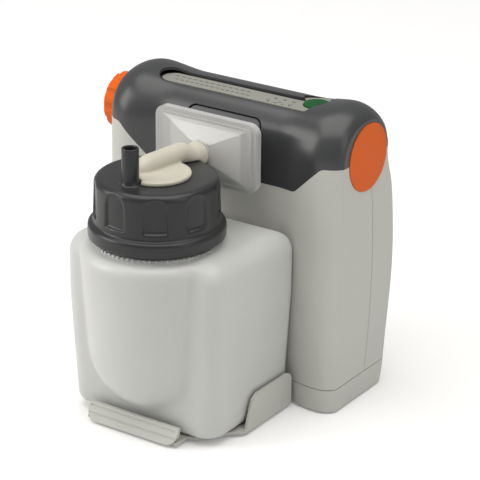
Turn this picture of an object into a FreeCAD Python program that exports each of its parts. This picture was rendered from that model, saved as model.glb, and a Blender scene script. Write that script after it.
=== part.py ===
import FreeCAD, Part
import math
import os

V = FreeCAD.Vector
os.makedirs("parts", exist_ok=True)

# Driving dimensions, all in millimetres. X runs along the front to the viewer's right,
# Y runs to the back, Z runs up. Y is 2 on the front of the two pillars.

# Case
half_width = 104.5
foot_height = 2.0
base_top = 20.0
wall = 2.4
pillar_front = 2.0
recess_front = 8.0
axis_y = 45.0
axis_z = 194.3
edge_round = 14.0
edge_overrun = 1.3
shoulder_run = 23.0
shoulder_drop = 14.5
shoulder_overrun = 1.0
blend_inner = 50.0
blend_outer = 88.0
seam_bottom_y = 49.0
seam_mid_y = 56.0
seam_top_y = 47.5
apron_bottom = 170.5
apron_half = 66.0
apron_rise_half = 91.0
back_reach = 95.6

# Knob and side disc, both on the shoulder axis
disc_r = 25.8
disc_thick = 3.0
disc_proud = 0.6
knob_r = 22.2
knob_root_r = 20.4
knob_reach = 17.4
knob_gap = 0.8
knob_lobes = 12
knob_shaft_r = 4.0

# Control strip and power button
strip_z = 226.3
strip_thick = 0.8
strip_front = 25.5
strip_back = 45.5
strip_left = -71.0
button_x = 61.2
button_y = 42.6
button_r = 10.0
button_gap = 0.3
button_travel = 1.2

# Filter on the pump's inlet
filter_z = 194.8
filter_front = -12.2
filter_w = 90.0
filter_h = 53.2
filter_t = 6.0
filter_corner = 8.0
frame_w = 82.0
frame_h = 46.7
frame_rise = 1.1
window_w = 75.0
window_h = 43.0
boss_r = 9.2
boss_front = -20.5
boss_run = 1.5
spigot_r = 6.2
spigot_run = 4.0
nozzle_r = 6.4
port_front = -0.5
medium_t = 3.0

# Canister
cap_y = -72.0
cap_bottom = 149.0
cap_flange_top = 160.0
cap_flange_r = 50.0
cap_grip_r = 46.2
cap_top_r = 45.0
cap_top = 193.6
cap_round = 5.0
cap_skin = 2.2
grip_count = 9
grip_turn = -15.1
grip_half = 8.5
grip_low = 165.5
grip_high = 191.5
port_x = -3.8
port_y = -98.0
port_r = 6.3
port_bore = 4.6
port_rise = 27.4
port_root_grow = 1.0
port_root_run = 3.6
neck_r = 40.6
neck_wall = 2.0
neck_top = 187.6
jar_half = 69.0
jar_front = -98.0
jar_back = 5.6
jar_floor = 4.8
jar_top = 143.0
jar_corner = 15.0
jar_wall = 1.6
jar_bulge_r = 50.4
jar_bulge_z = 64.0
jar_bulge_top_r = 56.5
jar_bulge_round = 10.0
elbow_disc_r = 25.0
elbow_end_r = 9.2
elbow_r = 8.1

# Cradle
cradle_half = 70.6
cradle_sheet = 2.2
cradle_floor = 2.6
cradle_wall_top = 29.6
lip_front = -108.0
lip_half = 40.5
lip_top = 14.9
lip_lean = 6.0
lip_corner = 9.0

# Fits
run_fit = 0.25
slide_fit = 0.5
panel_gap = 1.0
plug_gap = 0.3
notch_gap = 0.4
seam_gap = 0.5
seam_depth = 1.1

bulge_lean = math.atan2(jar_bulge_top_r - jar_bulge_r, jar_top - jar_bulge_z)
bulge_wide_z = jar_top - jar_bulge_round
jar_reach_r = jar_bulge_r / math.cos(bulge_lean) + (bulge_wide_z - jar_bulge_z) * math.tan(bulge_lean)
x_shift = (knob_reach - disc_proud) / 2
y_shift = -(back_reach + cap_y - jar_reach_r) / 2
zero_z = foot_height


# Small drawing helpers
def box(x0, x1, y0, y1, z0, z1):
    return Part.makeBox(x1 - x0, y1 - y0, z1 - z0, V(x0, y0, z0))


def rod_x(r, x0, x1, y, z):
    return Part.makeCylinder(r, x1 - x0, V(x0, y, z), V(1, 0, 0))


def rod_y(r, y0, y1, x, z):
    return Part.makeCylinder(r, y1 - y0, V(x, y0, z), V(0, 1, 0))


def rod_z(r, z0, z1, x, y):
    return Part.makeCylinder(r, z1 - z0, V(x, y, z0), V(0, 0, 1))


def fuse(shapes):
    out = shapes[0]
    if len(shapes) > 1:
        out = out.multiFuse(shapes[1:])
    try:
        return out.removeSplitter()
    except Part.OCCError:
        return out


def cut(shape, tools):
    for tool in tools:
        shape = shape.cut(tool)
    return shape


def prism(points, along):
    wire = Part.makePolygon([V(*p) for p in points] + [V(*points[0])])
    return Part.Face(wire).extrude(V(*along))


def round_edges(shape, radius, test):
    picked = [e for e in shape.Edges if test(e)]
    return shape.makeFillet(radius, picked)


def upright(edge, axis):
    d = edge.Vertexes[-1].Point - edge.Vertexes[0].Point
    return len(edge.Vertexes) == 2 and d.Length > 0.1 and abs(d.normalize().dot(axis)) > 0.999


def block(x0, x1, y0, y1, z0, z1, r, axis=V(0, 0, 1)):
    return round_edges(box(x0, x1, y0, y1, z0, z1), r, lambda e: upright(e, axis))


# Case outline: one curve over the top for the shoulders and one for the lower middle
shoulder_curve = [(2.0, 194.3), (3.0, 204.4), (6.6, 214.0), (13.0, 222.2), (22.0, 228.3), (33.0, 231.8),
                  (45.0, 232.8), (56.6, 231.0), (66.8, 226.0), (74.8, 218.8), (80.2, 210.0), (82.8, 202.0),
                  (83.5, 194.3)]
middle_curve = [(8.0, 194.3), (8.7, 203.6), (11.2, 212.0), (16.2, 219.4), (23.5, 225.0), (33.0, 227.3),
                (45.0, 228.2), (56.2, 227.2), (66.0, 223.4), (74.0, 217.2), (79.8, 208.8), (82.7, 201.2),
                (83.5, 194.3)]
back_curve = [(83.5, 194.3), (89.6, 168.0), (93.9, 140.0), (95.6, 108.0), (94.2, 82.0), (90.8, 58.0),
              (87.4, 34.0), (85.4, 18.0), (83.0, 7.0), (81.0, 2.0)]


def blend_at(x):
    t = (blend_outer - abs(x)) / (blend_outer - blend_inner)
    t = min(1.0, max(0.0, t))
    return t * t * (3 - 2 * t)


def pull(y, z, inset):
    d = math.hypot(y - axis_y, z - axis_z)
    k = (d - inset) / d
    return V(0, axis_y + (y - axis_y) * k, axis_z + (z - axis_z) * k)


def rounding(x, off, run, drop, start):
    t = max(0.0, (x - start) / (run - off))
    return off + (drop - off) * (1 - math.sqrt(max(0.0, 1 - t * t)))


def profile(x, off, low):
    b = blend_at(x)
    inset = rounding(abs(x), off, shoulder_run, shoulder_drop, half_width + shoulder_overrun - shoulder_run)
    inset_low = rounding(abs(x), off, edge_round, edge_round, half_width + edge_overrun - edge_round)
    top = [pull(a[0] * (1 - b) + m[0] * b, a[1] * (1 - b) + m[1] * b, inset)
           for a, m in zip(shoulder_curve, middle_curve)]
    heights = [(z - zero_z) / (axis_z - zero_z) for y, z in back_curve]
    back = [V(0, y - inset * h - inset_low * (1 - h), max(z, low)) for (y, z), h in zip(back_curve, heights)]
    for p in top + back:
        p.x = x
    over = Part.BSplineCurve()
    over.interpolate(Points=top, InitialTangent=V(0, 0, 1), FinalTangent=V(0, 0, -1))
    down = Part.BSplineCurve()
    down.interpolate(Points=back, InitialTangent=V(0, 0, -1), FinalTangent=V(0, -0.37, -0.93))
    corner = V(x, top[0].y - inset + inset_low, low)
    return Part.Wire([Part.makeLine(corner, top[0]), over.toShape(), down.toShape(),
                      Part.makeLine(back[-1], corner)])


def case_solid(off):
    low = zero_z
    reach = half_width - off
    stations = [blend_outer + (reach - blend_outer) * math.sin(math.radians(15 * i)) for i in range(7)]
    steps = [blend_inner + (blend_outer - blend_inner) * i / 6 for i in range(7)]
    parts = [Part.makeLoft([profile(x, off, low) for x in (-blend_inner, blend_inner)], True, True)]
    for side in (-1, 1):
        parts.append(Part.makeLoft([profile(side * x, off, low) for x in steps], True, False))
        parts.append(Part.makeLoft([profile(side * x, off, low) for x in stations], True, False))
    return fuse(parts)


outer = case_solid(0)
inner = case_solid(wall)
print("case", outer.isValid(), inner.isValid(), round(outer.Volume), round(inner.Volume))


# Case: cutting zones
seam_edge = Part.Arc(V(-150, seam_bottom_y, base_top), V(-150, seam_mid_y, 95), V(-150, seam_top_y, axis_z))
front_face = Part.Wire([
    Part.makeLine(V(-150, -60, -10), V(-150, seam_bottom_y, -10)),
    Part.makeLine(V(-150, seam_bottom_y, -10), V(-150, seam_bottom_y, base_top)),
    seam_edge.toShape(),
    Part.makeLine(V(-150, seam_top_y, axis_z), V(-150, seam_top_y, 260)),
    Part.makeLine(V(-150, seam_top_y, 260), V(-150, -60, 260)),
    Part.makeLine(V(-150, -60, 260), V(-150, -60, -10))])
front_zone = Part.Face(front_face).extrude(V(300, 0, 0))
apron = prism([(-150, -60, axis_z), (-apron_rise_half, -60, axis_z), (-apron_half, -60, apron_bottom),
               (apron_half, -60, apron_bottom), (apron_rise_half, -60, axis_z), (150, -60, axis_z),
               (150, -60, 260), (-150, -60, 260)], (0, 60 + axis_y, 0))
apron = round_edges(apron, 7, lambda e: upright(e, V(0, 1, 0)) and e.Vertexes[0].Z < axis_z + 1
                    and abs(e.Vertexes[0].X) < 100)
housing_zone = fuse([apron, box(-150, 150, axis_y, 150, axis_z, 260)])
skin = outer.cut(inner)
upper = box(-150, 150, -60, 150, base_top, 260)
lower = box(-150, 150, -60, 150, -10, base_top)

# Case: top housing with the seat of the control strip, and the dock plate in its front
button_hole = rod_z(button_r + button_gap, 200, 240, button_x, button_y)


# The strip's outline can be grown: each point of its swell, given from the button's centre, then
# moves out at the angle in degrees beside it
swell_points = [(6.9, 15.6, 45), (3.2, 18.0, 70), (-3.0, 17.0, 109), (-8.8, 13.7, 128), (-15.3, 7.0, 127)]
swell_run = 26.0


def strip_outline(grow, z0, z1):
    front = strip_front - grow
    back = strip_back - 1.2 + grow
    swell_pts = []
    for x, y, angle in swell_points:
        out = math.radians(angle)
        swell_pts.append(V(button_x + x + grow * math.cos(out), button_y + y + grow * math.sin(out), z0))
    tip = swell_pts[0]
    swell_end = V(button_x - swell_run, back, z0)
    swell = Part.BSplineCurve()
    swell.interpolate(Points=swell_pts + [swell_end], InitialTangent=V(-0.1, 1, 0), FinalTangent=V(-1, 0, 0))
    front_end = V(button_x, front, z0)
    front_side = V(button_x + 3.0 + grow, button_y - 7.0, z0)
    root = V(button_x + 6.9 + grow, button_y + 7.4, z0)
    low_end = V(strip_left + 8.0, front, z0)
    high_end = V(strip_left + 7.0, back, z0)
    nose = Part.Arc(high_end, V(strip_left - grow, (front + back) / 2 + 1.0, z0), low_end)
    wire = Part.Wire([Part.makeLine(low_end, front_end), Part.makeLine(front_end, front_side),
                      Part.makeLine(front_side, root), Part.makeLine(root, tip), swell.toShape(),
                      Part.makeLine(swell_end, high_end), nose.toShape()])
    return Part.Face(wire).extrude(V(0, 0, z1 - z0))


seat_z = strip_z - strip_thick
seat_cut = strip_outline(2.0, seat_z, 240)
seat_pad = strip_outline(5.0, seat_z - 2.2, seat_z).common(outer)
dock_half = 33.5
dock_low = 172.5
dock_high = 217.5


def dock(grow, y0, y1):
    return block(-dock_half - grow, dock_half + grow, y0, y1, dock_low - grow, dock_high + grow, 7, V(0, 1, 0))


housing = skin.common(housing_zone)
housing = fuse([housing, seat_pad])
housing = cut(housing, [seat_cut, button_hole, dock(0, -20, 35)])
board_top = 213.4
post_spots = [(-52.0, 30.0), (-52.0, 50.0), (56.0, 27.0), (76.0, 52.0)]
posts = [rod_z(2.6, board_top, 240, x, y).common(inner) for x, y in post_spots]
housing = fuse([housing] + posts)
side_seats = [rod_x(disc_r + 0.15, half_width - wall, half_width + 5, axis_y, axis_z),
              rod_x(disc_r + 0.15, -half_width - 5, -half_width + wall, axis_y, axis_z)]
housing = cut(housing, side_seats)
under_skin = inner.cut(case_solid(wall + 2.0))
port_plate = fuse([skin.common(dock(-panel_gap, -20, 35)), under_skin.common(dock(3, -20, 35))])
port_hole_r = 9.5
port_plate = port_plate.cut(rod_y(port_hole_r, -20, 40, 0, filter_z))

# Case: front shell, rear shell and base
# A narrow groove runs along the seams, where the rear shell and the base tray meet their neighbours
seam_skin = outer.cut(case_solid(seam_depth))
behind_seam = front_zone.copy()
behind_seam.translate(V(0, seam_gap, 0))
side_groove = behind_seam.cut(front_zone).common(seam_skin)
base_groove = seam_skin.common(box(-150, 150, -60, 150, base_top - seam_gap, base_top))
front_shell = cut(skin.common(upper).common(front_zone), [housing_zone] + side_seats)
rear_shell = cut(skin.common(upper).cut(front_zone), [housing_zone] + side_seats + [side_groove])
vent_z0 = 62.0
vent_z1 = 98.0
vent_pitch = 8.0
vents = [block(-1.8 + vent_pitch * i, 1.8 + vent_pitch * i, 80, 110, vent_z0, vent_z1, 1.7, V(0, 1, 0))
         for i in range(-5, 6)]
inlet_x = -78.0
inlet_z = 44.0
screw_spots = [(x, z) for x in (-86.0, 86.0) for z in (66.0, 164.0)]
boss_y0 = 62.0
boss_r_case = 4.6
screw_r = 1.6
head_r = 3.4
bosses = []
holes = []
for x, z in screw_spots:
    bosses.append(rod_y(boss_r_case, boss_y0, 100, x, z).common(inner))
    holes.append(rod_y(screw_r, boss_y0 - 10, 110, x, z))
    holes.append(rod_y(head_r + 0.3, boss_y0 + 8, 110, x, z))
inlet_seat = 87.0
inlet_r = 6.0
inlet_flange_r = 8.2
inlet_pad = rod_y(inlet_flange_r + 2.4, inlet_seat - 2.4, inlet_seat + 6, inlet_x, inlet_z).common(outer)
rear_shell = fuse([rear_shell, inlet_pad] + bosses)
rear_shell = cut(rear_shell, holes + vents + [rod_y(inlet_r + 0.2, 70, 110, inlet_x, inlet_z),
                                              rod_y(inlet_flange_r + 0.2, inlet_seat, 110, inlet_x, inlet_z)])
pillars = [rod_y(boss_r_case, pillar_front + wall - 1, boss_y0, x, z).common(inner) for x, z in screw_spots]
front_shell = fuse([front_shell] + pillars)
front_shell = cut(front_shell, [rod_y(screw_r, boss_y0 - 16, boss_y0 + 1, x, z) for x, z in screw_spots])
tunnel_half = cradle_half - 4.0
tunnel_top = cradle_floor + cradle_sheet + slide_fit
base_tray = fuse([skin.common(lower), outer.common(box(-150, 150, -60, 150, zero_z, tunnel_top + 2.6))])
tunnel = box(-tunnel_half - slide_fit, tunnel_half + slide_fit, -20, 46 + slide_fit, -1, tunnel_top)
base_tray = base_tray.cut(tunnel).cut(base_groove)

# Feet under the base
foot_r = 8.0
feet = {}
for i, (x, y) in enumerate([(-88, 18), (88, 18), (-88, 68), (88, 68)]):
    feet["foot_%d" % (i + 1)] = rod_z(foot_r, 0, zero_z, x, y)

# Screws in the rear shell
screws = {}
for i, (x, z) in enumerate(screw_spots):
    screws["case_screw_%d" % (i + 1)] = fuse([rod_y(screw_r, boss_y0 - 14, boss_y0 + 8, x, z),
                                              rod_y(head_r, boss_y0 + 8, boss_y0 + 10.4, x, z)]).cut(
        rod_y(1.3, boss_y0 + 9, boss_y0 + 12, x, z))

# Side disc and dial plate, each held by a flange behind the wall
side_x = half_width - wall
flange_grow = 1.2
side_disc = fuse([rod_x(disc_r, side_x, half_width + disc_proud, axis_y, axis_z),
                  rod_x(disc_r + flange_grow, side_x - 1.8, side_x, axis_y, axis_z)])
dial_plate = fuse([rod_x(disc_r, -half_width, -side_x, axis_y, axis_z),
                   rod_x(disc_r + flange_grow, -side_x, -side_x + 1.8, axis_y, axis_z)])
dial_plate = dial_plate.cut(rod_x(knob_shaft_r + run_fit, -120, -90, axis_y, axis_z))

# Vacuum knob, its shaft and the regulator behind it
knob_x0 = -half_width - knob_reach
knob_x1 = -half_width - knob_gap
knob = rod_x(knob_r, knob_x0, knob_x1, axis_y, axis_z)
knob = round_edges(knob, 2.0, lambda e: len(e.Vertexes) == 1 and abs(e.Vertexes[0].X - knob_x0) < 0.01)
flutes = []
for i in range(knob_lobes):
    a = 2 * math.pi * i / knob_lobes
    flutes.append(rod_x(4.6, knob_x0 - 1, knob_x1 + 1, axis_y + (knob_root_r + 4.6) * math.cos(a),
                        axis_z + (knob_root_r + 4.6) * math.sin(a)))
knob = cut(knob, flutes + [rod_x(knob_shaft_r, knob_x0 + 4, knob_x1 + 1, axis_y, axis_z)])
knob = knob.cut(rod_x(knob_root_r - 5, knob_x1 - 5, knob_x1 + 1, axis_y, axis_z).cut(
    rod_x(knob_shaft_r + 3, knob_x1 - 6, knob_x1 + 2, axis_y, axis_z)))
shaft_end = -86.0
knob_shaft = rod_x(knob_shaft_r, knob_x0 + 4, shaft_end, axis_y, axis_z)
valve_x1 = -68.0
valve_nozzle_x = valve_x1 - 7
valve = fuse([rod_x(13, -side_x + 1.8, valve_x1, axis_y, axis_z),
              rod_z(3.2, axis_z - 22, axis_z - 8, valve_nozzle_x, axis_y)])
valve = valve.cut(rod_x(knob_shaft_r + run_fit, -110, shaft_end + 1, axis_y, axis_z))
valve = valve.cut(rod_z(1.8, axis_z - 24, axis_z - 6, valve_nozzle_x, axis_y))

# Control strip, button, lights and board
strip = strip_outline(0, seat_z, strip_z).cut(button_hole)
light_spots = [(25.0, 32.0), (35.0, 32.0), (45.0, 32.0)]
strip = cut(strip, [rod_z(1.5, 200, 240, x, y) for x, y in light_spots])
housing = cut(housing, [rod_z(1.5, 200, 240, x, y) for x, y in light_spots])
lights_low = 214.0
lights = fuse([box(22, 48, 29.5, 34.5, lights_low, lights_low + 2)] +
              [rod_z(1.35, lights_low + 2, strip_z + 0.3, x, y) for x, y in light_spots])
button_top = strip_z + button_travel + 0.3
button = rod_z(button_r, seat_z - 4.4, button_top, button_x, button_y)
button = round_edges(button, 0.9, lambda e: len(e.Vertexes) == 1 and e.Vertexes[0].Z > button_top - 0.01)
button = fuse([button, rod_z(button_r + 1.3, seat_z - 4.4, seat_z - 2.6, button_x, button_y)])
board = box(-58, 80, 24, 56, board_top - 1.6, board_top)
switch = fuse([box(button_x - 5, button_x + 5, button_y - 5, button_y + 5, board_top, board_top + 4),
               rod_z(2.4, board_top + 4, seat_z - 4.4 - button_travel - 0.2, button_x, button_y)])
light_base = box(23, 47, 30, 34, board_top, lights_low)
lights = fuse([lights, light_base])
chip = box(-40, -22, 32, 48, board_top, board_top + 2.4)

# Filter: rear shell, medium and clear front shell
mid_y = filter_front + filter_t / 2
back_y = filter_front + filter_t


def slab(w, h, y0, y1, r):
    return block(-w / 2, w / 2, y0, y1, filter_z - h / 2, filter_z + h / 2, r, V(0, 1, 0))


medium_w = 77.0
medium_h = 41.0
fit = 0.05


def frustum(w, h, y0, w2, h2, y1):
    ends = []
    for hw, hh, y in ((w / 2, h / 2, y0), (w2 / 2, h2 / 2, y1)):
        ends.append(Part.makePolygon([V(-hw, y, filter_z - hh), V(hw, y, filter_z - hh), V(hw, y, filter_z + hh),
                                      V(-hw, y, filter_z + hh), V(-hw, y, filter_z - hh)]))
    return Part.makeLoft(ends, True, True)


# Each filter shell is a flange with a hollow pyramid on it. The medium is clamped between them.
filter_medium = slab(medium_w, medium_h, mid_y - medium_t / 2, mid_y + medium_t / 2, 4)
clear = 1.5
tip_w = 18.0
tip_h = 15.0
tip_y = boss_front + boss_run
frame_y = filter_front - frame_rise
spigot_end = 15.0
filter_rear = fuse([slab(filter_w, filter_h, mid_y, back_y, filter_corner),
                    frustum(window_w, window_h, back_y, tip_w, tip_h, port_front - 0.3),
                    rod_y(nozzle_r, port_front - 1.8, spigot_end, 0, filter_z)])
filter_rear = cut(filter_rear, [slab(medium_w, medium_h, mid_y - 1, mid_y + medium_t / 2, 4),
                                frustum(window_w - 2 * clear, window_h - 2 * clear, mid_y, tip_w - 5, tip_h - 4,
                                        port_front - 0.3 - clear),
                                rod_y(nozzle_r - 1.5, port_front - 3, spigot_end + 1, 0, filter_z)])
filter_front_shell = fuse([slab(filter_w, filter_h, filter_front, mid_y, filter_corner),
                           slab(frame_w, frame_h, frame_y, filter_front, 4),
                           frustum(window_w, window_h, frame_y, tip_w, tip_h, tip_y),
                           rod_y(boss_r, boss_front, tip_y + 1, 0, filter_z),
                           rod_y(spigot_r, boss_front - spigot_run, boss_front, 0, filter_z)])
filter_front_shell = cut(filter_front_shell, [slab(medium_w, medium_h, mid_y - medium_t / 2, mid_y + 1, 4),
                                              frustum(window_w - 2 * clear, window_h - 2 * clear, mid_y,
                                                      tip_w - 5, tip_h - 4, tip_y + clear),
                                              rod_y(spigot_r - 1.4, boss_front - spigot_run - 1, tip_y + 3, 0,
                                                    filter_z)])

# Suction port in the dock plate
suction_port = fuse([rod_y(11.5, port_front, recess_front, 0, filter_z),
                     rod_y(port_hole_r, recess_front, 24, 0, filter_z),
                     rod_y(4.4, 24, 34, 0, filter_z)])
suction_port = cut(suction_port, [rod_y(nozzle_r + fit, -5, spigot_end + 0.5, 0, filter_z),
                                  rod_y(2.9, 10, 40, 0, filter_z)])


# Pipes run in straight lines joined by arcs, one bend radius for each inner point of the route
def pipe(route, bends, r):
    pts = [V(*p) for p in route]
    edges = []
    last = pts[0]
    for before, here, after, bend in zip(pts, pts[1:], pts[2:], bends):
        back = (before - here).normalize()
        on = (after - here).normalize()
        half = math.acos(max(-1.0, min(1.0, -back.dot(on)))) / 2
        reach = bend * math.tan(half)
        middle = here + (back + on).normalize() * (math.hypot(reach, bend) - bend)
        start = here + back * reach
        end = here + on * reach
        edges.append(Part.makeLine(last, start))
        edges.append(Part.Arc(start, middle, end).toShape())
        last = end
    edges.append(Part.makeLine(last, pts[-1]))
    ring = Part.Wire([Part.Circle(pts[0], pts[1] - pts[0], r).toShape()])
    return Part.Wire(edges).makePipeShell([ring], True, False)


# A shape turned from a flat outline of radii and heights about the cap's axis
def turned(points):
    wire = Part.makePolygon([V(r, 0, z) for r, z in points] + [V(points[0][0], 0, points[0][1])])
    solid = Part.Face(wire).revolve(V(0, 0, 0), V(0, 0, 1), 360)
    solid.translate(V(0, cap_y, 0))
    return solid


# Elbow: a tube from the filter's boss over the cap's rim and down into a disc and collar. Its
# underside is cut free of the cap, and its bore runs a little above its middle for that reason.
# It plugs onto the filter's spigot as the canister slides in, and its disc is notched round the port.
chamber_low = 184.0
disc_top = cap_top + 3.0
collar_r = 16.4
elbow_end_x = -9.5
elbow_end_y = cap_y - 6.5
elbow_end_z = 198.4
hub_end = -30.0
bore_lift = 1.6
elbow_bore = 3.4
elbow_route = [(0, boss_front - plug_gap, filter_z), (0, -31.0, filter_z), (-2.8, -38.5, 199.2),
               (elbow_end_x, elbow_end_y, elbow_end_z), (elbow_end_x, elbow_end_y, chamber_low + 3)]
bore_route = [(0, boss_front + 1, filter_z + bore_lift), (0, -26.0, filter_z + bore_lift), (-2.5, -36.0, 200.6),
              (elbow_end_x, elbow_end_y, elbow_end_z + 0.4), (elbow_end_x, elbow_end_y, chamber_low + 1)]
elbow_disc = rod_z(elbow_disc_r, cap_top, disc_top, 0, cap_y)
elbow_disc = round_edges(elbow_disc, 1.4, lambda e: len(e.Vertexes) == 1 and e.Vertexes[0].Z > disc_top - 0.01)
elbow_disc = elbow_disc.cut(rod_z(port_r + port_root_grow + notch_gap, cap_top - 1, disc_top + 1, port_x, port_y))
hub_taper = Part.makeCone(elbow_end_r, elbow_r - 0.2, 3.0, V(0, hub_end, filter_z), V(0, -1, 0))
elbow = fuse([elbow_disc, rod_z(collar_r, chamber_low, cap_top, 0, cap_y),
              rod_y(elbow_end_r, hub_end, boss_front - plug_gap, 0, filter_z), hub_taper,
              pipe(elbow_route, [9.0, 9.0, 9.2], elbow_r)])
cap_room = turned([(collar_r, 140), (cap_grip_r + 0.8, 140), (cap_grip_r + 0.3, cap_top - 7),
                   (cap_top_r + 0.4, cap_top - 3.4), (cap_top_r - 1.6, cap_top - 0.9),
                   (cap_top_r - 4.2, cap_top + 0.4), (elbow_disc_r, cap_top + 0.4), (elbow_disc_r, cap_top),
                   (collar_r, cap_top)])
elbow = cut(elbow, [cap_room, rod_z(collar_r - 1.8, chamber_low - 1, cap_top - 0.4, 0, cap_y),
                    rod_y(spigot_r + run_fit, boss_front - spigot_run - plug_gap, boss_front + 1, 0, filter_z),
                    pipe(bore_route, [6.0, 6.0, 6.0], elbow_bore)])

# Cap with its thread bore, grips and patient port
cap_axis = V(0, cap_y, 0)
cap_body = turned([(0, cap_bottom), (cap_flange_r, cap_bottom), (cap_flange_r, cap_flange_top),
                   (cap_grip_r, cap_flange_top), (cap_top_r, cap_top), (0, cap_top)])
cap_body = round_edges(cap_body, cap_round, lambda e: len(e.Vertexes) == 1 and e.Vertexes[0].Z > cap_top - 0.01)
cap_body = round_edges(cap_body, 3.0, lambda e: len(e.Vertexes) == 1
                       and abs(e.Vertexes[0].Z - cap_flange_top) < 0.01
                       and abs(math.hypot(e.Vertexes[0].X, e.Vertexes[0].Y - cap_y) - cap_flange_r) < 0.01)
grip_depth_r = 43.9
grips = []
for i in range(grip_count):
    arch = fuse([box(30, 60, -grip_half, grip_half, grip_low, grip_high - grip_half),
                 rod_x(grip_half, 30, 60, 0, grip_high - grip_half)])
    arch = arch.cut(rod_z(grip_depth_r, 150, 200, 0, 0))
    arch.rotate(V(0, 0, 0), V(0, 0, 1), 360.0 * i / grip_count + grip_turn)
    arch.translate(cap_axis)
    grips.append(arch)
cap_bore_r = 42.0
cap_under = cap_top - cap_skin
port = rod_z(port_r, cap_top - 1, cap_top + port_rise, port_x, port_y)
port_root = Part.makeCone(port_r + port_root_grow, port_r, port_root_run, V(port_x, port_y, cap_top))
cap_body = cut(cap_body, grips)
canister_cap = fuse([cap_body, port, port_root])
canister_cap = cut(canister_cap, [rod_z(cap_bore_r, cap_bottom - 1, cap_under, 0, cap_y),
                                  rod_z(collar_r + run_fit, cap_under - 1, cap_top + 1, 0, cap_y),
                                  rod_z(port_bore, cap_under - 1, cap_top + port_rise + 1, port_x, port_y)])
gasket = rod_z(neck_r, neck_top, cap_under, 0, cap_y).cut(rod_z(neck_r - neck_wall - 1, neck_top - 1,
                                                               cap_under + 1, 0, cap_y))

# Float cage under the cap, with the float and its seal
cage_r = 19.4
cage_in = 17.2
cage_low = 84.0
float_r = 16.2
float_low = 88.0
float_top = 120.0
float_travel = 8.0
seal_t = 2.0
seat_low = float_top + seal_t + float_travel
cage = rod_z(cage_r, cage_low, cap_under, 0, cap_y)
cage = cut(cage, [rod_z(cage_in, float_low, seat_low, 0, cap_y), rod_z(8, seat_low - 1, seat_low + 4, 0, cap_y),
                  rod_z(cage_in, seat_low + 3, cap_under + 1, 0, cap_y), rod_z(6, cage_low - 1, 90, 0, cap_y)])
for a in (0, 90):
    slot = block(-30, 30, -6, 6, float_low + 3, seat_low - 3, 5, V(1, 0, 0))
    slot.rotate(V(0, 0, 0), V(0, 0, 1), a)
    slot.translate(cap_axis)
    cage = cage.cut(slot)
float_body = rod_z(float_r, float_low, float_top, 0, cap_y).cut(rod_z(float_r - 1.5, float_low - 1, float_top - 1.5,
                                                                      0, cap_y))
float_seal = rod_z(12, float_top, float_top + seal_t, 0, cap_y)


# Jar: drafted box, round front under the cap, shoulder and threaded neck
def plan(inset, z, height=1.0):
    x = jar_half - inset
    solid = box(-x, x, jar_front + inset, jar_back - inset, z, z + height)
    solid = round_edges(solid, jar_corner - min(inset, 8), lambda e: upright(e, V(0, 0, 1))
                        and e.Vertexes[0].Y < cap_y + 20)
    return round_edges(solid, 6.4 - min(inset, 5), lambda e: upright(e, V(0, 0, 1)) and e.Vertexes[0].Y > -20
                       and abs(e.Vertexes[0].X) > 40)


def plan_wire(inset, z):
    solid = plan(inset, z)
    return [f for f in solid.Faces if abs(f.CenterOfMass.z - z) < 1e-6][0].OuterWire


jar_draft = 3.6
jar_wide_z = 95.0


# The round front: a ball below, a side that leans out from it as it rises, and a rounded shoulder
def bulge_solid(off):
    r = jar_bulge_r - off
    top_round = jar_bulge_round - off
    high = jar_top - off
    ball_mid = math.radians(40)
    shoulder_mid = math.radians(45)
    bottom = V(0, 0, jar_bulge_z - r)
    side_low = V(r * math.cos(bulge_lean), 0, jar_bulge_z - r * math.sin(bulge_lean))
    side_high = V(jar_reach_r - off, 0, bulge_wide_z)
    edge_r = side_high.x - top_round
    ball = Part.Arc(bottom, V(r * math.sin(ball_mid), 0, jar_bulge_z - r * math.cos(ball_mid)), side_low)
    shoulder = Part.Arc(side_high, V(edge_r + top_round * math.cos(shoulder_mid), 0,
                                     bulge_wide_z + top_round * math.sin(shoulder_mid)), V(edge_r, 0, high))
    wire = Part.Wire([ball.toShape(), Part.makeLine(side_low, side_high), shoulder.toShape(),
                      Part.makeLine(V(edge_r, 0, high), V(0, 0, high)), Part.makeLine(V(0, 0, high), bottom)])
    solid = Part.Face(wire).revolve(V(0, 0, 0), V(0, 0, 1), 360)
    solid.translate(cap_axis)
    return solid


def jar_solid(off):
    low = jar_floor + off
    high = jar_top - off
    draft = jar_draft * (jar_wide_z - low) / (jar_wide_z - jar_floor)
    body = fuse([Part.makeLoft([plan_wire(off + draft, low), plan_wire(off, jar_wide_z)], True, True),
                 plan(off, jar_wide_z, high - jar_wide_z)])
    body = round_edges(body, 17 - off, lambda e: abs(e.CenterOfMass.z - high) < 0.01)
    body = round_edges(body, 8 - off, lambda e: abs(e.CenterOfMass.z - low) < 0.01)
    return body.fuse(bulge_solid(off))


jar_out = jar_solid(0)
jar_in = jar_solid(jar_wall)
collar = rod_z(46.0, jar_top - 1, jar_top + 3.0, 0, cap_y)
neck = rod_z(neck_r, jar_top - 1, neck_top, 0, cap_y)
threads = [turned([(neck_r - 0.5, z - 1.6), (neck_r + 1.1, z - 0.5), (neck_r + 1.1, z + 0.5),
                   (neck_r - 0.5, z + 1.6)]) for z in (170.0, 176.0, 182.0)]
jar = fuse([jar_out, collar, neck] + threads)
jar = cut(jar, [jar_in, rod_z(neck_r - neck_wall, jar_top - 8, neck_top + 1, 0, cap_y)])

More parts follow.
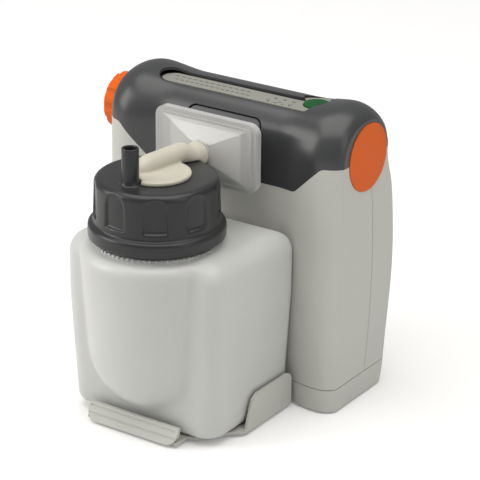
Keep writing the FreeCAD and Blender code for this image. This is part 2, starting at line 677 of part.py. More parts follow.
# Cradle: bent sheet with two side walls, a tongue and a ribbed front lip
floor_top = cradle_floor + cradle_sheet
floor_pts = [(-tunnel_half, 46), (-tunnel_half, 1), (-cradle_half, 1), (-cradle_half, -60), (-60, -71),
             (-46, -90), (-lip_half, -91), (-lip_half, lip_front + 3), (lip_half, lip_front + 3), (lip_half, -91),
             (46, -90), (60, -71), (cradle_half, -60), (cradle_half, 1), (tunnel_half, 1), (tunnel_half, 46)]
cradle_base = prism([(x, y, cradle_floor) for x, y in floor_pts], (0, 0, cradle_sheet))
cheeks = []
for side in (-1, 1):
    x0 = side * cradle_half
    cheek = prism([(x0, 1, cradle_floor), (x0, 1, cradle_wall_top), (x0, -45, cradle_wall_top),
                   (x0, -51, cradle_wall_top - 3), (x0, -60, cradle_floor)], (-side * cradle_sheet, 0, 0))
    cheek = round_edges(cheek, 7.0, lambda e: upright(e, V(1, 0, 0)) and e.Vertexes[0].Y > 0
                        and e.Vertexes[0].Z > 20)
    cheeks.append(cheek)
lip_low = 2.2
lip_back = lip_front + lip_lean
lip = prism([(-lip_half, lip_front, lip_low), (-lip_half, lip_back, lip_top), (-lip_half, lip_back + 2.6, lip_top),
             (-lip_half, lip_front + 4.4, lip_low)], (2 * lip_half, 0, 0))
lip_shape = box(-lip_half, lip_half, lip_front - 5, lip_back + 5, lip_low, lip_top)
lip_shape = round_edges(lip_shape, lip_corner, lambda e: upright(e, V(0, 1, 0)) and e.Vertexes[0].Z < lip_low + 1)
grooves = [rod_x(0.8, -lip_half + 2, lip_half - 2, lip_front + lip_lean * share - 0.25,
                 lip_low + (lip_top - lip_low) * share) for share in (0.42, 0.82)]
lip = cut(lip.common(lip_shape), grooves)
cradle = fuse([cradle_base, lip] + cheeks)
pad_r = 5.0
pads = {"cradle_pad_%d" % (i + 1): rod_z(pad_r, 0, cradle_floor, x, lip_front + 12) for i, x in enumerate((-30, 30))}

# Inside the case: battery, pump with its motor, tray, hoses, inlet and silencer
battery = block(-6, 78, 20, 58, tunnel_top + 2.6, 70, 3)
tray_z = 84.0
pump_tray = box(-72, 52, 22, 76, tray_z - 3, tray_z)
pump_tray = fuse([pump_tray] + [box(x - 4, x + 4, y - 4, y + 4, tunnel_top + 2.6, tray_z - 3)
                                for x, y in [(-64, 28), (-64, 70), (-14, 28), (-14, 70)]])
motor_r = 19.0
motor_y = 48.0
motor_z = tray_z + 24.0
motor = rod_x(motor_r, -14, 46, motor_y, motor_z)
motor_saddle = box(-8, 40, motor_y - 15, motor_y + 15, tray_z, motor_z - 8).cut(
    rod_x(motor_r, -20, 60, motor_y, motor_z))
crank_case = box(-62, -18, 26, 70, tray_z, tray_z + 46)
shaft_r = 2.5
crank_case = cut(crank_case, [rod_x(17, -59, -21, motor_y, motor_z),
                              rod_x(shaft_r + run_fit, -61.2, -10, motor_y, motor_z)])
rotor_shaft = rod_x(shaft_r, -60.8, -15.2, motor_y, motor_z)
motor = motor.cut(rod_x(6, -15, -13, motor_y, motor_z))
counterweight = fuse([rod_x(6, -46, -33, motor_y + 2, motor_z),
                      rod_x(13.5, -33, -27, motor_y, motor_z).common(box(-40, -20, motor_y - 14, motor_y + 3, 0,
                                                                         motor_z + 30))])
counterweight = counterweight.cut(rod_x(shaft_r, -60, -10, motor_y, motor_z))
head_low = tray_z + 46
head_top = head_low + 16
barb_r = 3.6
vacuum_x = -30.0
exhaust_x = -50.0
bleed_z = head_low + 8
pump_head = fuse([box(-58, -22, 30, 66, head_low, head_top),
                  rod_z(barb_r, head_top, head_top + 10, vacuum_x, motor_y),
                  rod_z(barb_r, head_top, head_top + 10, exhaust_x, motor_y),
                  rod_x(barb_r, -67, -58, axis_y, bleed_z)])
exhaust_silencer = rod_z(7.5, head_top + 1, head_top + 26, exhaust_x, motor_y)
exhaust_silencer = cut(exhaust_silencer, [rod_z(barb_r, head_top, head_top + 10, exhaust_x, motor_y),
                                          rod_z(5.5, head_top + 10, head_top + 24, exhaust_x, motor_y)])
inlet_bore = 2.9
inlet_jack = fuse([rod_y(inlet_flange_r, inlet_seat, inlet_seat + 2, inlet_x, inlet_z),
                   rod_y(inlet_r, inlet_seat - 15, inlet_seat, inlet_x, inlet_z)])
inlet_jack = inlet_jack.cut(rod_y(inlet_bore, inlet_seat - 7, inlet_seat + 3, inlet_x, inlet_z))

# Hoses from the suction port and from the regulator to the pump head
hose_r = 5.6
port_route = [(0, 26, filter_z), (0, 54, filter_z), (vacuum_x, 54, 172), (vacuum_x, motor_y, head_top + 9),
              (vacuum_x, motor_y, head_top + 1)]
port_hose = pipe(port_route, [16, 12, 10], hose_r)
port_hose = port_hose.cut(suction_port).cut(pump_head)
bleed_r = 4.6
bleed_route = [(valve_nozzle_x, axis_y, axis_z - 15), (valve_nozzle_x, axis_y, bleed_z), (-60, axis_y, bleed_z)]
bleed_hose = pipe(bleed_route, [9], bleed_r)
bleed_hose = bleed_hose.cut(valve).cut(pump_head)

nodes = {
    "top_housing": housing,
    "port_plate": port_plate,
    "front_shell": front_shell,
    "rear_shell": rear_shell,
    "base_tray": base_tray,
    "side_disc": side_disc,
    "dial_plate": dial_plate,
    "regulator_knob": knob,
    "knob_shaft": knob_shaft,
    "regulator_valve": valve,
    "control_strip": strip,
    "power_button": button,
    "status_lights": lights,
    "circuit_board": board,
    "power_switch": switch,
    "controller_chip": chip,
    "suction_port": suction_port,
    "filter_rear_shell": filter_rear,
    "filter_medium": filter_medium,
    "filter_front_shell": filter_front_shell,
    "elbow": elbow,
    "canister_cap": canister_cap,
    "cap_gasket": gasket,
    "float_cage": cage,
    "float_body": float_body,
    "float_seal": float_seal,
    "jar": jar,
    "cradle": cradle,
    "battery_pack": battery,
    "pump_tray": pump_tray,
    "pump_motor": motor,
    "motor_saddle": motor_saddle,
    "crank_case": crank_case,
    "rotor_shaft": rotor_shaft,
    "counterweight": counterweight,
    "pump_head": pump_head,
    "inlet_jack": inlet_jack,
    "port_hose": port_hose,
    "bleed_hose": bleed_hose,
    "exhaust_silencer": exhaust_silencer,
}
nodes.update(feet)
nodes.update(screws)
nodes.update(pads)

shift = V(x_shift, y_shift, 0)
for name, shape in nodes.items():
    solids = shape.Solids
    shape = solids[0] if len(solids) == 1 else shape
    shape = shape.copy()
    shape.translate(shift)
    b = shape.BoundBox
    print("%-20s solids %d valid %s volume %9.1f  x %7.1f %7.1f  y %7.1f %7.1f  z %6.1f %6.1f" % (
        name, len(solids), shape.isValid(), shape.Volume, b.XMin, b.XMax, b.YMin, b.YMax, b.ZMin, b.ZMax))
    shape.exportStep("parts/%s.step" % name)
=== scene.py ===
import math

import bmesh
import bpy
import numpy as np
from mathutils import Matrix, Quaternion, Vector


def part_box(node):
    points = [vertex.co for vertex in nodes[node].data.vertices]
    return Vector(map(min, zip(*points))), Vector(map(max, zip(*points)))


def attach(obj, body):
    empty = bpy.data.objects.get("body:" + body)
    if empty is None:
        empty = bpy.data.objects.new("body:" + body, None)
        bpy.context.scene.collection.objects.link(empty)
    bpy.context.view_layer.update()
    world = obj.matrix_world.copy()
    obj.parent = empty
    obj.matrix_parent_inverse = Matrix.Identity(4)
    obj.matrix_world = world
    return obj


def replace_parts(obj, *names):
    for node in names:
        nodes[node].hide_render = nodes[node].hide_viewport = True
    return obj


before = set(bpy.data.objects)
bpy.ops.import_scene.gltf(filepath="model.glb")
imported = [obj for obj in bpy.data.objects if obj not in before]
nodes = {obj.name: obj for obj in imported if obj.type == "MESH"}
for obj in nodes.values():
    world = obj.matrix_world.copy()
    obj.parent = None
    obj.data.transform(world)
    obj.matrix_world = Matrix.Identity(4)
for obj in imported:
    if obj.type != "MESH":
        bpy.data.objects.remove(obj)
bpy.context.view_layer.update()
mm = 0.001
scene = bpy.context.scene

# Camera: it stands in front, to the right and above, at the photograph's angle, and its long lens
# leaves the upright edges almost parallel. The small roll is the photograph's own tilt. What it
# aims at is measured from the canister's upright axis.
gasket_low, gasket_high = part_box("cap_gasket")
axis = (gasket_low + gasket_high) / 2
camera_target = Vector((axis.x + 23.23 * mm, axis.y + 72.0 * mm, 124.6 * mm))
camera_azimuth = math.radians(34.09)
camera_elevation = math.radians(22.51)
camera_roll = math.radians(0.56)
camera_distance = 1588.4 * mm
towards_camera = Vector((math.sin(camera_azimuth) * math.cos(camera_elevation),
                         -math.cos(camera_azimuth) * math.cos(camera_elevation),
                         math.sin(camera_elevation)))
camera = bpy.data.objects.new("camera", bpy.data.cameras.new("camera"))
scene.collection.objects.link(camera)
camera.data.sensor_width = 36
camera.data.lens = 160.2
camera.data.clip_start = 0.05
camera.data.clip_end = 30
camera.location = camera_target + towards_camera * camera_distance
camera.rotation_mode = "QUATERNION"
camera.rotation_quaternion = (-towards_camera).to_track_quat("-Z", "Y") @ Quaternion((0, 0, 1), camera_roll)
scene.camera = camera
scene.view_settings.view_transform = "Standard"


# Studio: a white sweep under soft boxes. One large box hangs overhead, one stands at the left and
# in front, and a weaker one stands at the right, so that the front is brighter than the right side.
def linear(code):
    """A material's sRGB hex colour as the linear values that a shader takes."""
    parts = [int(code[i:i + 2], 16) / 255 for i in (1, 3, 5)]
    return [c / 12.92 if c <= 0.04045 else ((c + 0.055) / 1.055) ** 2.4 for c in parts] + [1.0]


def add(tree, kind, settings=None, **inputs):
    """Adds one node. Settings are its own properties; inputs are values or other nodes' sockets."""
    made = tree.nodes.new(kind)
    for key, value in (settings or {}).items():
        setattr(made, key, value)
    for key, value in inputs.items():
        key = key.replace("_", " ")
        socket = made.inputs[int(key[1:])] if key[0] == "n" and key[1:].isdigit() else made.inputs[key]
        if isinstance(value, bpy.types.NodeSocket):
            tree.links.new(value, socket)
        else:
            socket.default_value = value
    return made


world = bpy.data.worlds.new("studio")
world.use_nodes = True
scene.world = world
world.node_tree.nodes.clear()
path = add(world.node_tree, "ShaderNodeLightPath")
seen = add(world.node_tree, "ShaderNodeMath", {"operation": "MAXIMUM"}, n0=path.outputs["Is Camera Ray"],
           n1=path.outputs["Is Transmission Ray"])
light_on_object = 0.36
strength = add(world.node_tree, "ShaderNodeMapRange", n0=seen.outputs[0], n3=light_on_object, n4=1.0)
background = add(world.node_tree, "ShaderNodeBackground", Color=linear("#FFFFFF"),
                 Strength=strength.outputs[0])
add(world.node_tree, "ShaderNodeOutputWorld", Surface=background.outputs[0])

# Each soft box: where it hangs, its width and height in metres, and its watts
soft_boxes = {
    "overhead": ((0.05, -0.1, 1.3), (1.5, 1.3), 15.0),
    "left_front": ((-1.15, -0.95, 0.75), (0.9, 1.1), 12.0),
    "right": ((1.25, -0.2, 0.75), (0.5, 1.1), 2.2),
}
lamps_aim = Vector((0, 0, 0.1))
for name, (place, size, watts) in soft_boxes.items():
    lamp = bpy.data.lights.new(name, "AREA")
    lamp.shape = "RECTANGLE"
    lamp.size, lamp.size_y = size
    lamp.energy = watts
    lamp.color = linear("#FFFDFA")[:3]
    box = bpy.data.objects.new(name, lamp)
    scene.collection.objects.link(box)
    box.location = Vector(place)
    box.rotation_mode = "QUATERNION"
    box.rotation_quaternion = (lamps_aim - box.location).to_track_quat("-Z", "Y")

# Floor: a plain white sweep that takes the soft shadow. The camera sees it a little brighter than
# the lamps leave it, and more so away from the object, so that it ends in white.
floor_mesh = bpy.data.meshes.new("floor")
floor_reach = 6.0
floor_mesh.from_pydata([(-floor_reach, -floor_reach, 0), (floor_reach, -floor_reach, 0),
                        (floor_reach, floor_reach, 0), (-floor_reach, floor_reach, 0)], [], [(0, 1, 2, 3)])
floor = bpy.data.objects.new("floor", floor_mesh)
scene.collection.objects.link(floor)
paper = bpy.data.materials.new("white_paper")
paper.use_nodes = True
paper.node_tree.nodes.clear()
diffuse = add(paper.node_tree, "ShaderNodeBsdfDiffuse", Color=linear("#F4F4F3"))
path = add(paper.node_tree, "ShaderNodeLightPath")
place = add(paper.node_tree, "ShaderNodeTexCoord").outputs["Object"]
away = add(paper.node_tree, "ShaderNodeVectorMath", {"operation": "LENGTH"}, n0=place)
lift_starts = 0.25
lift_full = 1.4
least_lift = 0.14
most_lift = 0.4
more = add(paper.node_tree, "ShaderNodeMapRange", n0=away.outputs["Value"], n1=lift_starts, n2=lift_full,
           n3=least_lift, n4=most_lift)
lift = add(paper.node_tree, "ShaderNodeMath", {"operation": "MULTIPLY"}, n0=path.outputs["Is Camera Ray"],
           n1=more.outputs[0])
glow = add(paper.node_tree, "ShaderNodeEmission", Color=linear("#FFFFFF"), Strength=lift.outputs[0])
both = add(paper.node_tree, "ShaderNodeAddShader", n0=diffuse.outputs[0], n1=glow.outputs[0])
add(paper.node_tree, "ShaderNodeOutputMaterial", Surface=both.outputs[0])
floor_mesh.materials.append(paper)


# Case: two moulded shells, a base tray and the cradle, all in light warm grey ABS. The mould is
# spark eroded, which gives the skin a fine even grain and a satin gloss; its grain of 0.3 mm is
# drawn at 1.2 mm so that it shows at all. The shells part at a fine seam on each side.
def moulded(name, colour, other, rough, grain=1.2, relief=0.2, edge=0.5, drift=70.0, **own):
    """An injection moulding: a slight drift between two near colours, a fine grain, eased edges.

    Grain, edge and drift are sizes in millimetres. What is in own goes straight to the shader.
    """
    made = bpy.data.materials.new(name)
    made.use_nodes = True
    tree = made.node_tree
    tree.nodes.clear()
    place = add(tree, "ShaderNodeTexCoord").outputs["Object"]
    cloud = add(tree, "ShaderNodeTexNoise", Vector=place, Scale=1 / (drift * mm), Detail=3.0,
                Roughness=0.5)
    mixed = add(tree, "ShaderNodeMix", {"data_type": "RGBA"}, Factor=cloud.outputs["Fac"],
                n6=linear(colour), n7=linear(other))
    fine = add(tree, "ShaderNodeTexNoise", Vector=place, Scale=1 / (grain * mm), Detail=2.0, Roughness=0.6)
    gloss = add(tree, "ShaderNodeMapRange", n0=fine.outputs["Fac"], n3=rough - 0.04, n4=rough + 0.05)
    eased = add(tree, "ShaderNodeBevel", {"samples": 4}, Radius=edge * mm)
    bump = add(tree, "ShaderNodeBump", Height=fine.outputs["Fac"], Strength=relief, Distance=0.05 * mm,
               Normal=eased.outputs[0])
    shader = add(tree, "ShaderNodeBsdfPrincipled", Roughness=gloss.outputs[0], Normal=bump.outputs[0],
                 **own)
    tree.links.new(mixed.outputs[2], shader.inputs["Base Color"])
    add(tree, "ShaderNodeOutputMaterial", Surface=shader.outputs[0])
    return made


def dress(material, *names):
    """Gives a finish to nodes of the frame that keep their own shape."""
    for name in names:
        nodes[name].data.materials.clear()
        nodes[name].data.materials.append(material)


case_grey = moulded("grey_abs_spark_grain", "#C1C1BB", "#BBBBB4", 0.44, Specular_IOR_Level=0.35)
dress(case_grey, "front_shell", "rear_shell", "base_tray", "cradle")

# Top housing: charcoal ABS over the shoulders, with the dock plate and the dial plate of the same
# batch. Its mould is finer, so that it is glossier than the case and shows long soft highlights.
housing_black = moulded("charcoal_abs_satin", "#3C3D3E", "#373839", 0.3, relief=0.1)
dress(housing_black, "top_housing", "port_plate", "dial_plate", "suction_port")

# Side disc and knob: bright orange ABS with a smooth satin face. The disc snaps into the right end
# of the shoulders; the knob is pushed on a steel shaft at the left end.
orange = moulded("orange_abs_satin", "#DD5F00", "#D65900", 0.42, relief=0.08, edge=0.6,
                 Specular_IOR_Level=0.18)
dress(orange, "side_disc", "regulator_knob")

# Control strip: a printed polyester foil glued on a flat seat, with a finely textured face. Its
# print is one pass of dark ink, drawn 0.12 mm thick so that it shows: two rows of dashes for
# levels, and two short rows of dots. Clear light guides show through it beside the button.
strip_low, strip_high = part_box("control_strip")
button_low, button_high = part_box("power_button")
button_middle = (button_low + button_high) / 2
foil = moulded("printed_foil_grey", "#8E8E87", "#888881", 0.5, grain=0.6, relief=0.1,
               Specular_IOR_Level=0.3)
dress(foil, "control_strip")
ink = moulded("printed_ink_dark", "#494944", "#42423E", 0.5, grain=0.5, relief=0.1, edge=0.05)
ink_thick = 0.12 * mm


def finished(name, mesh, body):
    """Makes a piece from a mesh, shades it smoothly and hands it to the frame."""
    for face in mesh.polygons:
        face.use_smooth = True
    piece = bpy.data.objects.new(name, mesh)
    scene.collection.objects.link(piece)
    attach(piece, body)
    return piece


def baked(piece):
    """The mesh that a piece's modifiers give, with the modifiers taken off the piece."""
    bpy.context.view_layer.update()
    mesh = bpy.data.meshes.new_from_object(piece.evaluated_get(bpy.context.evaluated_depsgraph_get()))
    piece.modifiers.clear()
    return mesh


def rule(name, inputs):
    """A Geometry Nodes tree with named inputs: the tree, its input node, its inputs' identifiers."""
    tree = bpy.data.node_groups.new(name, "GeometryNodeTree")
    sockets = {title: tree.interface.new_socket(title, in_out="INPUT", socket_type=kind).identifier
               for title, kind in inputs.items()}
    tree.interface.new_socket("Made", in_out="OUTPUT", socket_type="NodeSocketGeometry")
    return tree, add(tree, "NodeGroupInput"), sockets


def grown(name, tree, sockets, values):
    """The plain mesh that a tree gives for these values."""
    carrier = bpy.data.objects.new(name + "_carrier", bpy.data.meshes.new(name))
    scene.collection.objects.link(carrier)
    modifier = carrier.modifiers.new("rule", "NODES")
    modifier.node_group = tree
    for title, value in values.items():
        modifier[sockets[title]] = value
    mesh = baked(carrier)
    bpy.data.objects.remove(carrier)
    return mesh


# The tree that prints a row of equal marks: a line of points, one block on each
row_tree, given, row_sockets = rule("printed_row", {
    "Count": "NodeSocketInt", "Start": "NodeSocketVector", "Step": "NodeSocketVector",
    "Mark size": "NodeSocketVector", "Ink": "NodeSocketMaterial"})
line = add(row_tree, "GeometryNodeMeshLine", Count=given.outputs["Count"], n2=given.outputs["Start"],
           n3=given.outputs["Step"])
mark = add(row_tree, "GeometryNodeMeshCube", n0=given.outputs["Mark size"])
spread = add(row_tree, "GeometryNodeInstanceOnPoints", n0=line.outputs[0], n2=mark.outputs[0])
real = add(row_tree, "GeometryNodeRealizeInstances", n0=spread.outputs[0])
inked = add(row_tree, "GeometryNodeSetMaterial", n0=real.outputs[0], n2=given.outputs["Ink"])
add(row_tree, "NodeGroupOutput", n0=inked.outputs[0])

# Each row of print: how many marks, where the first one stands, the step, and a mark's length and
# width. Places are from the strip's left end or the button's middle, and from its front edge.
print_z = strip_high.z + ink_thick / 2
left_end = strip_low.x
rows = {
    "dashes_front": (15, left_end + 14 * mm, 6.2 * mm, 4.6 * mm, 2.6 * mm, 0.9 * mm),
    "dashes_back": (13, left_end + 10 * mm, 12.8 * mm, 5.4 * mm, 3.2 * mm, 0.9 * mm),
    "signs_front": (4, button_middle.x - 34 * mm, 3.4 * mm, 6.2 * mm, 1.8 * mm, 1.2 * mm),
    "signs_back": (3, button_middle.x - 33 * mm, 12.4 * mm, 8.0 * mm, 2.2 * mm, 1.6 * mm),
}
for name, (count, first_x, from_front, step, length, width) in rows.items():
    marks = grown(name, row_tree, row_sockets, {
        "Count": count, "Start": (first_x, strip_low.y + from_front, print_z), "Step": (step, 0, 0),
        "Mark size": (length, width, ink_thick), "Ink": ink})
    finished(name, marks, "case")
guide = moulded("clear_light_guide", "#B9BBB3", "#B1B3AB", 0.2, relief=0.02, Transmission_Weight=0.5)
dress(guide, "status_lights")

# Button: a green polycarbonate cap with a darker round on/off sign printed on it, an open ring with
# a bar in its gap. It stands in the strip's wide end, over the power switch on the board.
green = moulded("green_polycarbonate", "#12562A", "#104E25", 0.5, relief=0.05, edge=0.4,
                Specular_IOR_Level=0.15)
dress(green, "power_button")
sign_ink = moulded("printed_ink_green", "#123F22", "#10391F", 0.45, relief=0.05, edge=0.05)
sign_r = 3.3
sign_width = 0.8
sign_open = math.radians(32)
sign_steps = 40
bar_low = 1.0
bar_high = 4.4
sign_z = button_high.z + 0.02 * mm
sign = bmesh.new()


def sign_point(x, y):
    """A corner of the sign, in millimetres from the button's middle."""
    return sign.verts.new((button_middle.x + x * mm, button_middle.y + y * mm, sign_z))


ring = []
for i in range(sign_steps + 1):
    angle = math.pi / 2 + sign_open + (2 * math.pi - 2 * sign_open) * i / sign_steps
    ring.append([sign_point(r * math.cos(angle), r * math.sin(angle))
                 for r in (sign_r - sign_width / 2, sign_r + sign_width / 2)])
for a, b in zip(ring, ring[1:]):
    sign.faces.new((a[0], a[1], b[1], b[0]))
sign.faces.new([sign_point(x * sign_width / 2, y)
                for x, y in ((-1, bar_low), (1, bar_low), (1, bar_high), (-1, bar_high))])
raised = bmesh.ops.extrude_face_region(sign, geom=sign.faces[:])["geom"]
bmesh.ops.translate(sign, vec=(0, 0, ink_thick),
                    verts=[part for part in raised if isinstance(part, bmesh.types.BMVert)])
bmesh.ops.recalc_face_normals(sign, faces=sign.faces[:])
sign_mesh = bpy.data.meshes.new("power_sign")
sign.to_mesh(sign_mesh)
sign.free()
sign_mesh.materials.append(sign_ink)
finished("power_sign", sign_mesh, "button")

# Canister jar: milky polypropylene, blown and then trimmed, with a drafted box body, a round front
# under the neck and soft blends between them. Its wall scatters light and lets a little through.
jar_low, jar_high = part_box("jar")
jar_half_width = (jar_high.x - jar_low.x) / 2
jar_middle_x = (jar_high.x + jar_low.x) / 2
jar_back = jar_high.y
jar_wall = 1.6 * mm
eye = Vector((axis.x, axis.y, 75.0 * mm))
box_front = axis.y - 26.0 * mm
box_top = 143.0 * mm
box_bottom = jar_low.z
draft = 3.6 * mm
draft_top = 95.0 * mm
front_corner = 17.0 * mm
back_corner = 7.0 * mm
bottom_round = 8.0 * mm
top_round = 17.0 * mm
round_r = 50.4 * mm
round_z = 64.0 * mm
round_lean = math.atan2(6.1, 79.0)
shoulder_round = 10.0 * mm
blend = 5.0 * mm
collar_r = 46.0 * mm
collar_top = 146.0 * mm
neck_r = 40.6 * mm
neck_top = 187.6 * mm
neck_blend = 1.5 * mm
collar_blend = 3.0 * mm
thread_rise = 1.0 * mm
thread_half = 1.6 * mm
thread_heights = (170.0 * mm, 176.0 * mm, 182.0 * mm)


def rounded_meet(a, b, r):
    """The distance to where two walls meet in a corner of radius r."""
    a = a + r
    b = b + r
    return np.hypot(np.maximum(a, 0), np.maximum(b, 0)) + np.minimum(np.maximum(a, b), 0) - r


def blended(a, b, width):
    """Two forms joined with a soft hollow between them."""
    share = np.clip(0.5 + 0.5 * (b - a) / width, 0, 1)
    return b * (1 - share) + a * share - width * share * (1 - share)


def jar_distance(x, y, z):
    """How far a point lies outside the jar's outer skin, below zero inside it."""
    pulled = draft * np.clip((draft_top - z) / (draft_top - box_bottom), 0, 1)
    half_depth = (jar_back - box_front) / 2
    middle_y = (jar_back + box_front) / 2
    side = np.abs(x - jar_middle_x) - (jar_half_width - pulled)
    depth = np.abs(y - middle_y) - (half_depth - pulled)
    corner = np.where(y < middle_y, front_corner, back_corner)
    plan = rounded_meet(side, depth, corner)
    body = np.maximum(rounded_meet(plan, z - box_top, top_round),
                      rounded_meet(plan, box_bottom - z, bottom_round))
    from_axis = np.hypot(x - axis.x, y - axis.y)
    ball = np.hypot(from_axis, z - round_z) - round_r
    cone_r = round_r / math.cos(round_lean) + (z - round_z) * math.tan(round_lean)
    leaning = (from_axis - cone_r) * math.cos(round_lean)
    front = rounded_meet(np.where(z < round_z, ball, leaning), z - box_top, shoulder_round)
    thread = thread_rise * sum(np.clip(1 - np.abs(z - height) / thread_half, 0, 1)
                               for height in thread_heights)
    collar = np.maximum(from_axis - collar_r, z - collar_top)
    neck = blended(collar, from_axis - neck_r - thread, neck_blend)
    far_off = 1.0
    return blended(blended(body, front, blend), np.where(z > box_top - top_round, neck, far_off),
                   collar_blend)


# The skin is found along rays from a point inside the jar, from the neck's rim down to the bottom:
# on each ray, halving closes in on the place where the distance is zero
around = 240
neck_rows = 56
body_rows = 118
halvings = 30
nearest = 30 * mm
farthest = 170 * mm
rim_angle = math.atan2(neck_r, neck_top - eye.z)
collar_angle = math.atan2(collar_r, box_top - eye.z)
pole_angle = math.radians(178.8)
polar = np.concatenate([np.linspace(rim_angle, collar_angle, neck_rows)[:-1],
                        np.linspace(collar_angle, pole_angle, body_rows)])
turn = np.arange(around) * 2 * math.pi / around
ways = (np.sin(polar)[:, None] * np.cos(turn), np.sin(polar)[:, None] * np.sin(turn),
        np.cos(polar)[:, None] * np.ones(around))
near = np.full((len(polar), around), nearest)
far = np.full((len(polar), around), farthest)
for _ in range(halvings):
    middle = (near + far) / 2
    inside = jar_distance(*(eye[k] + ways[k] * middle for k in range(3))) < 0
    near = np.where(inside, middle, near)
    far = np.where(inside, far, middle)
skin = np.stack([eye[k] + ways[k] * near for k in range(3)], axis=-1)
points = [tuple(p) for p in skin.reshape(-1, 3)]
points.append((axis.x, axis.y, float(skin[-1, :, 2].mean())))
faces = []
for i in range(len(polar) - 1):
    for j in range(around):
        k = (j + 1) % around
        faces.append((i * around + j, (i + 1) * around + j, (i + 1) * around + k, i * around + k))
last = (len(polar) - 1) * around
for j in range(around):
    faces.append((last + j, len(points) - 1, last + (j + 1) % around))
jar_mesh = bpy.data.meshes.new("milky_jar")
jar_mesh.from_pydata(points, [], faces)
milky = moulded("milky_polypropylene", "#DDDEDA", "#D8D9D4", 0.34, grain=1.5, relief=0.05, edge=0.3,
                drift=45.0, Transmission_Weight=0.16, Subsurface_Weight=0.5,
                Subsurface_Radius=(1.0, 1.0, 0.95), Subsurface_Scale=8.0 * mm, IOR=1.49)
jar_mesh.materials.append(milky)
milky_jar = finished("milky_jar", jar_mesh, "canister")
shell = milky_jar.modifiers.new("wall", "SOLIDIFY")
shell.thickness = jar_wall
shell.offset = -1
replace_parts(milky_jar, "jar")

# Collar ribs: a ring of small moulded ribs round the jar's collar, just under the cap. They stop
# the cap from working loose.
rib_count = 72
rib_size = (1.6 * mm, 1.2 * mm, 2.0 * mm)
rib_middle = Vector((axis.x, axis.y, collar_top - 0.4 * mm))
ring_tree, given, ring_sockets = rule("ring_of_ribs", {
    "Count": "NodeSocketInt", "Radius": "NodeSocketFloat", "Centre": "NodeSocketVector",
    "Rib size": "NodeSocketVector", "Finish": "NodeSocketMaterial"})
circle = add(ring_tree, "GeometryNodeMeshCircle", Vertices=given.outputs["Count"],
             Radius=given.outputs["Radius"])
outward = add(ring_tree, "FunctionNodeAlignRotationToVector", {"axis": "X"},
              Vector=add(ring_tree, "GeometryNodeInputPosition").outputs[0])
rib = add(ring_tree, "GeometryNodeMeshCube", n0=given.outputs["Rib size"])
spread = add(ring_tree, "GeometryNodeInstanceOnPoints", n0=circle.outputs[0], n2=rib.outputs[0],
             Rotation=outward.outputs[0])
real = add(ring_tree, "GeometryNodeRealizeInstances", n0=spread.outputs[0])
placed = add(ring_tree, "GeometryNodeTransform", n0=real.outputs[0], Translation=given.outputs["Centre"])
finish = add(ring_tree, "GeometryNodeSetMaterial", n0=placed.outputs[0], n2=given.outputs["Finish"])
add(ring_tree, "NodeGroupOutput", n0=finish.outputs[0])
rib_mesh = grown("collar_ribs", ring_tree, ring_sockets, {
    "Count": rib_count, "Radius": collar_r, "Centre": rib_middle, "Rib size": rib_size, "Finish": milky})
finished("collar_ribs", rib_mesh, "canister")


# Canister cap: charcoal polypropylene, moulded with scalloped grips and an upright port. Every edge
# is eased by about a millimetre, as on the real moulding, and the skin has a satin gloss. The
# gasket under it is grey silicone, as is the float's seal.
def softened(node, name, voxel, rounds, material, body):
    """A node's own shape, with its edges and joins eased as the mould leaves them.

    It is rebuilt on a grid of the size of voxel, and then smoothed as often as rounds says.
    """
    mesh = nodes[node].data.copy()
    merged = bmesh.new()
    merged.from_mesh(mesh)
    same_place = 0.001 * mm
    bmesh.ops.remove_doubles(merged, verts=merged.verts[:], dist=same_place)
    merged.to_mesh(mesh)
    merged.free()
    carrier = bpy.data.objects.new(name + "_carrier", mesh)
    scene.collection.objects.link(carrier)
    skin = carrier.modifiers.new("skin", "REMESH")
    skin.mode = "VOXEL"
    skin.voxel_size = voxel
    ease = carrier.modifiers.new("ease", "SMOOTH")
    ease.factor = 0.5
    ease.iterations = rounds
    done = baked(carrier)
    bpy.data.objects.remove(carrier)
    done.materials.clear()
    done.materials.append(material)
    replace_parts(finished(name, done, body), node)


cap_black = moulded("charcoal_polypropylene", "#2B2C2D", "#262728", 0.3, relief=0.08, edge=0.3,
                    Specular_IOR_Level=0.42)
softened("canister_cap", "scalloped_cap", 0.8 * mm, 4, cap_black, "canister")
gasket_rubber = moulded("grey_silicone_seal", "#58585A", "#505052", 0.55, relief=0.1, edge=0.2)
dress(gasket_rubber, "cap_gasket", "float_seal")

# Elbow: soft cream PVC, dip moulded in one piece with its disc and collar, so that every inner
# corner runs out in a soft fillet. It has a dull skin and lets a little light in.
cream = moulded("cream_soft_pvc", "#C4C0B2", "#BDB9AA", 0.42, grain=1.0, relief=0.1, edge=0.4,
                Subsurface_Weight=0.25, Subsurface_Radius=(1.0, 0.85, 0.6), Subsurface_Scale=3.0 * mm)
softened("elbow", "cream_elbow", 0.6 * mm, 8, cream, "canister")

# Filter: two acrylic shells welded at their rims over a sheet of white fleece, which shows through
# their polished faces as a milky white. The edges catch the light.
acrylic = moulded("clear_acrylic_polished", "#F4F4F1", "#EFEFEC", 0.12, relief=0.0, edge=0.4,
                  Transmission_Weight=0.5, IOR=1.49)
dress(acrylic, "filter_front_shell", "filter_rear_shell")
fleece = moulded("white_filter_fleece", "#EFEFEC", "#E6E6E2", 0.85, grain=0.8, relief=0.8)
dress(fleece, "filter_medium")

# Float: a polypropylene cage under the cap, with a closed float that rises in it and shuts the way to the
# pump with the seal on its top. Their mid grey is painted shade, so that they show as a dim shadow through
# the jar's milky wall.
float_shadow_grey = moulded("polypropylene_painted_shadow_grey", "#8E9295", "#878B8F", 0.4, relief=0.1)
dress(float_shadow_grey, "float_cage", "float_body")

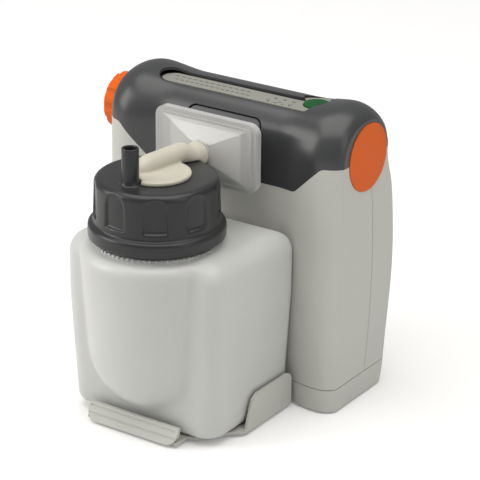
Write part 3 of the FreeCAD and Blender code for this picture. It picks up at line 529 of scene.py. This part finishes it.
# Feet and cradle pads: black moulded rubber, matt and finely pitted. They sit under the base tray and
# the cradle and keep the unit from sliding.
foot_rubber = moulded("black_foot_rubber", "#232323", "#1C1C1C", 0.75, grain=0.8, relief=0.6)
dress(foot_rubber, "foot_1", "foot_2", "foot_3", "foot_4", "cradle_pad_1", "cradle_pad_2")


# Steel parts: the knob's and the rotor's shafts are turned, the case screws are turned and plated,
# and the motor's can is drawn. Fine tool marks run round each, about 0.4 mm apart so that they show.
def turned_steel(name, colour, rough, along):
    """Plain steel with fine marks that follow one another along an axis, as a lathe leaves them."""
    made = bpy.data.materials.new(name)
    made.use_nodes = True
    tree = made.node_tree
    tree.nodes.clear()
    place = add(tree, "ShaderNodeTexCoord").outputs["Object"]
    marks = add(tree, "ShaderNodeTexWave", {"bands_direction": along}, Vector=place, Scale=1 / (1.2 * mm),
                Distortion=2.0, Detail=2.0)
    tone = add(tree, "ShaderNodeTexNoise", Vector=place, Scale=1 / (8 * mm), Detail=3.0)
    mixed = add(tree, "ShaderNodeMix", {"data_type": "RGBA"}, Factor=tone.outputs["Fac"],
                n6=linear(colour), n7=linear("#8F9092"))
    gloss = add(tree, "ShaderNodeMapRange", n0=marks.outputs["Fac"], n3=rough - 0.06, n4=rough + 0.08)
    bump = add(tree, "ShaderNodeBump", Height=marks.outputs["Fac"], Strength=0.15, Distance=0.02 * mm)
    shader = add(tree, "ShaderNodeBsdfPrincipled", Roughness=gloss.outputs[0], Normal=bump.outputs[0],
                 Metallic=1.0)
    tree.links.new(mixed.outputs[2], shader.inputs["Base Color"])
    add(tree, "ShaderNodeOutputMaterial", Surface=shader.outputs[0])
    return made


dress(turned_steel("turned_steel_shaft", "#A9AAAB", 0.3, "X"), "knob_shaft", "rotor_shaft", "counterweight")
dress(turned_steel("zinc_plated_steel_screw", "#B4B5B6", 0.28, "Y"), "case_screw_1", "case_screw_2",
      "case_screw_3", "case_screw_4")
dress(turned_steel("drawn_steel_can", "#9A9B9D", 0.36, "X"), "pump_motor")

# Pump and valve: glass-filled nylon, dark and slightly mottled, screwed down on a nylon tray. The
# power inlet at the back is moulded of the same.
nylon = moulded("black_filled_nylon", "#2C2C2D", "#232324", 0.5, grain=0.9, relief=0.5, drift=6.0)
dress(nylon, "pump_tray", "motor_saddle", "crank_case", "pump_head", "regulator_valve", "exhaust_silencer",
      "inlet_jack")

# Battery, board and hoses: cells in blue shrink wrap, a green laminate board with black parts, and
# soft clear-grey silicone hoses with a slightly tacky skin.
wrap = moulded("blue_shrink_wrap", "#27406B", "#223A63", 0.3, grain=4.0, relief=0.4, drift=12.0)
dress(wrap, "battery_pack")
laminate = moulded("green_laminate_board", "#1C5B36", "#174F2E", 0.35, grain=0.6, relief=0.2, drift=5.0)
dress(laminate, "circuit_board")
component = moulded("black_epoxy_component", "#252526", "#1D1D1E", 0.45, grain=0.5, relief=0.3)
dress(component, "power_switch", "controller_chip")
silicone = moulded("clear_grey_silicone", "#C6C7C3", "#BEBFBB", 0.45, relief=0.1, Subsurface_Weight=0.4,
                   Subsurface_Radius=(1.0, 1.0, 1.0), Subsurface_Scale=2.0 * mm)
dress(silicone, "port_hose", "bleed_hose")
